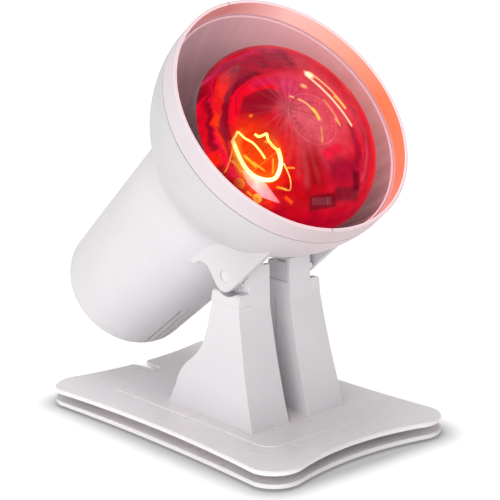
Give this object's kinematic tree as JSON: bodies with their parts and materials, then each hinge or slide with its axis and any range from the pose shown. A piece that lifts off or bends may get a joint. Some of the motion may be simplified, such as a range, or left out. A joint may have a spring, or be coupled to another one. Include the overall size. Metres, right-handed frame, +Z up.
{
  "type": "infrared_heat_therapy_lamp",
  "caption": "Infrared heat table lamp: a red reflector bulb in a bell-shaped head that tilts between posts on a plated base with a cord channel round its edge.",
  "frame": {"origin": "On the surface the lamp stands on, under the middle of its bounding box.", "axes": "X runs across the lamp, square to the plane in which the head tilts; Y runs from the mouth to the back, along the base's long side; Z is up. The mouth faces -Y and upwards."},
  "size_m": [0.1248, 0.2013, 0.2063],
  "materials": {
    "white_body": "satin white heat-resistant plastic",
    "lit_ring": "satin white plastic, tinted by the bulb inside",
    "grey_shade": "matte grey heat shield",
    "red_glass": "red filter glass, smooth",
    "silvered_glass": "glass bowl silvered on the inside",
    "clear_glass": "clear glass stem",
    "filament_wire": "tungsten coil",
    "cap_brass": "plain brass",
    "holder_ceramic": "glazed white ceramic",
    "zinc_steel": "zinc-plated steel",
    "ballast_steel": "plain steel plate",
    "dark_rubber": "soft black rubber",
    "gland_rubber": "light grey rubber bush"
  },
  "bodies": {
    "base": {"base_lower_plate": "white_body", "base_core": "white_body", "base_upper_plate": "white_body", "ballast_plate": "ballast_steel", "rubber_feet": "dark_rubber", "base_screws": "zinc_steel", "post_panel": "white_body", "left_post": "white_body", "right_post": "white_body", "left_shoulder_cap": "white_body", "right_shoulder_cap": "white_body", "post_screws": "zinc_steel", "detent_rings": "white_body"},
    "head": {"rear_housing": "white_body", "front_ring": "lit_ring", "inner_shade": "grey_shade", "left_pivot_pin": "white_body", "right_pivot_pin": "white_body", "friction_washers": "zinc_steel", "bulb_face": "red_glass", "bulb_reflector": "silvered_glass", "bulb_screw_cap": "cap_brass", "bulb_contact": "cap_brass", "bulb_stem": "clear_glass", "filament": "filament_wire", "lamp_holder": "holder_ceramic", "holder_contact": "cap_brass", "holder_bracket": "zinc_steel", "bracket_screws": "zinc_steel", "terminal_block": "holder_ceramic", "cord_gland": "gland_rubber"}
  },
  "joints": [
    {"name": "head_tilt", "type": "hinge", "parent": "base", "child": "head", "pos_m": [0, -0.03315, 0.0815], "axis": [1, 0, 0], "range_deg": [-3, 22]}
  ]
}
